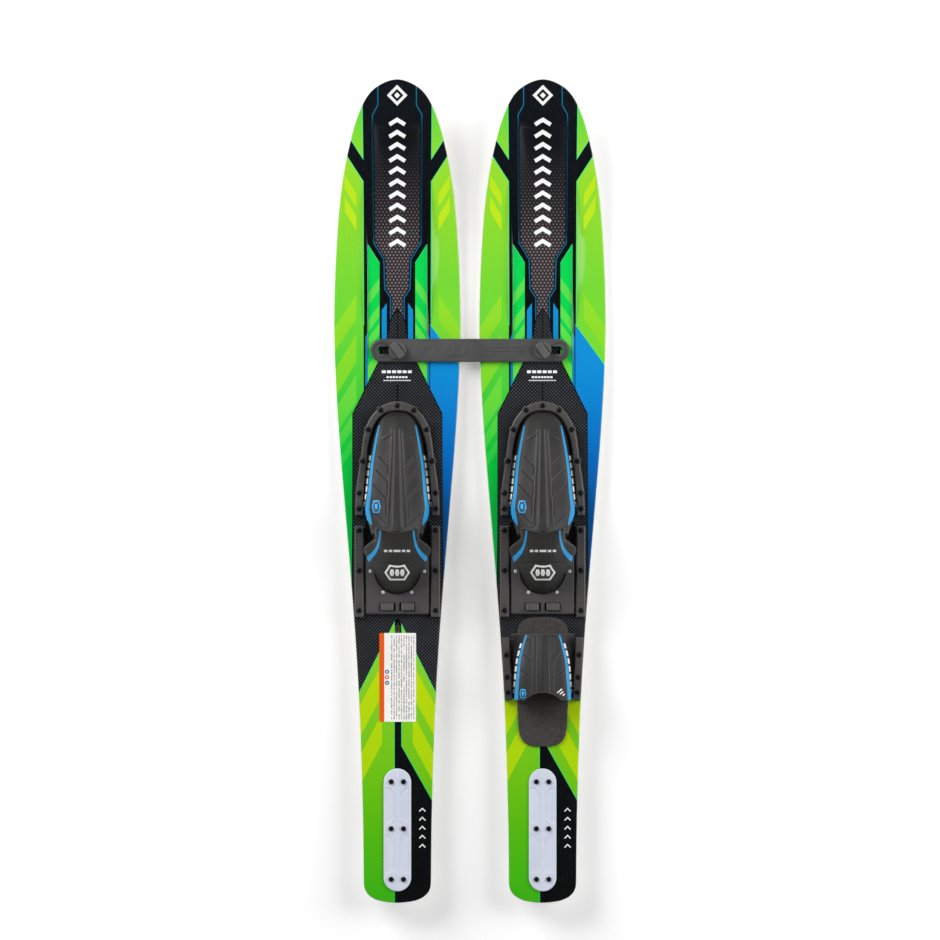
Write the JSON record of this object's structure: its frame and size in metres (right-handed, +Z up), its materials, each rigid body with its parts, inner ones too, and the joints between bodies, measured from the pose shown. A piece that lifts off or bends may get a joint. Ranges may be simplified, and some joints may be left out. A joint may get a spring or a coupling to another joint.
{
  "type": "water ski pair",
  "caption": "Pair of junior combination water skis joined by a slotted trainer bar, with horseshoe toe pieces, sliding heel cups, a rear toe strap and tail fins.",
  "frame": {"origin": "middle of the pair's bounding box in plan, level with the lowest point of the fins", "axes": "+X across the pair to the right-hand ski, +Y along the skis to the tips, +Z up out of the decks"},
  "size_m": [0.4536, 1.37, 0.153],
  "materials": {
    "ski_core": "satin",
    "topsheet": "gloss",
    "brass": "satin",
    "fin_white": "gloss",
    "black_screw": "satin",
    "steel": "satin",
    "foam": "matte",
    "boot_rubber": "satin",
    "hard_black": "matte",
    "tab_plastic": "satin",
    "label": "satin"
  },
  "bodies": {
    "left_ski": {"left_ski_core": "ski_core", "left_topsheet": "topsheet", "left_bar_insert": "brass", "left_binding_inserts": "brass", "left_fin": "fin_white", "left_fin_plate": "fin_white", "left_fin_screws": "black_screw", "left_footbed": "foam", "left_toe_frame": "hard_black", "left_toe_overlay": "boot_rubber", "left_toe_frame_screws": "steel", "left_rail_outer": "hard_black", "left_rail_inner": "hard_black", "left_rail_screws": "steel", "care_label": "label"},
    "left_carriage": {"left_carriage_base": "hard_black", "left_carriage_cover": "hard_black", "left_heel_cup": "boot_rubber", "left_heel_pad": "foam", "left_heel_rivets": "steel", "left_tab_spring_outer": "steel", "left_tab_spring_inner": "steel"},
    "left_tab_outer": {"left_release_tab_outer": "tab_plastic"},
    "left_tab_inner": {"left_release_tab_inner": "tab_plastic"},
    "left_thumbscrew": {"left_knob": "hard_black", "left_knob_stud": "steel"},
    "left_slider": {"left_bushing": "hard_black"},
    "right_ski": {"right_ski_core": "ski_core", "right_topsheet": "topsheet", "right_bar_insert": "brass", "right_binding_inserts": "brass", "right_fin": "fin_white", "right_fin_plate": "fin_white", "right_fin_screws": "black_screw", "right_footbed": "foam", "right_toe_frame": "hard_black", "right_toe_overlay": "boot_rubber", "right_toe_frame_screws": "steel", "right_rail_outer": "hard_black", "right_rail_inner": "hard_black", "right_rail_screws": "steel", "rear_pad": "foam", "rear_strap": "boot_rubber", "rear_plate_outer": "hard_black", "rear_plate_inner": "hard_black", "rear_screws": "steel"},
    "right_carriage": {"right_carriage_base": "hard_black", "right_carriage_cover": "hard_black", "right_heel_cup": "boot_rubber", "right_heel_pad": "foam", "right_heel_rivets": "steel", "right_tab_spring_outer": "steel", "right_tab_spring_inner": "steel"},
    "right_tab_outer": {"right_release_tab_outer": "tab_plastic"},
    "right_tab_inner": {"right_release_tab_inner": "tab_plastic"},
    "right_thumbscrew": {"right_knob": "hard_black", "right_knob_stud": "steel"},
    "right_slider": {"right_bushing": "hard_black"},
    "bar": {"trainer_bar": "hard_black"}
  },
  "joints": [
    {"name": "left_swivel", "type": "hinge", "parent": "left_ski", "child": "left_slider", "pos_m": [-0.1208, 0.235, 0.047], "axis": [0, 0, 1], "range_deg": [-3, 3]},
    {"name": "left_bar_slide", "type": "slide", "parent": "left_slider", "child": "bar", "axis": [1, 0, 0], "range_m": [0, 0.027]},
    {"name": "right_bar_slide", "type": "slide", "parent": "bar", "child": "right_slider", "axis": [1, 0, 0], "range_m": [0, 0.027]},
    {"name": "right_swivel", "type": "hinge", "parent": "right_slider", "child": "right_ski", "pos_m": [0.1208, 0.235, 0.047], "axis": [0, 0, 1], "range_deg": [-3, 3]},
    {"name": "left_heel_slide", "type": "slide", "parent": "left_ski", "child": "left_carriage", "axis": [0, 1, 0], "range_m": [0, 0.025]},
    {"name": "left_knob_turn", "type": "hinge", "parent": "left_ski", "child": "left_thumbscrew", "pos_m": [-0.1208, 0.235, 0.047], "axis": [0, 0, 1], "range_deg": [0, 360]},
    {"name": "left_tab_outer_press", "type": "slide", "parent": "left_carriage", "child": "left_tab_outer", "axis": [1, 0, 0], "range_m": [0, 0.003], "stiffness_N_per_m": 1500, "springref_m": -0.002, "deforming": ["left_tab_spring_outer"]},
    {"name": "left_tab_inner_press", "type": "slide", "parent": "left_carriage", "child": "left_tab_inner", "axis": [-1, 0, 0], "range_m": [0, 0.003], "stiffness_N_per_m": 1500, "springref_m": -0.002, "deforming": ["left_tab_spring_inner"]},
    {"name": "right_heel_slide", "type": "slide", "parent": "right_ski", "child": "right_carriage", "axis": [0, 1, 0], "range_m": [0, 0.025]},
    {"name": "right_knob_turn", "type": "hinge", "parent": "right_ski", "child": "right_thumbscrew", "pos_m": [0.1208, 0.235, 0.047], "axis": [0, 0, 1], "range_deg": [0, 360]},
    {"name": "right_tab_outer_press", "type": "slide", "parent": "right_carriage", "child": "right_tab_outer", "axis": [-1, 0, 0], "range_m": [0, 0.003], "stiffness_N_per_m": 1500, "springref_m": -0.002, "deforming": ["right_tab_spring_outer"]},
    {"name": "right_tab_inner_press", "type": "slide", "parent": "right_carriage", "child": "right_tab_inner", "axis": [1, 0, 0], "range_m": [0, 0.003], "stiffness_N_per_m": 1500, "springref_m": -0.002, "deforming": ["right_tab_spring_inner"]}
  ]
}
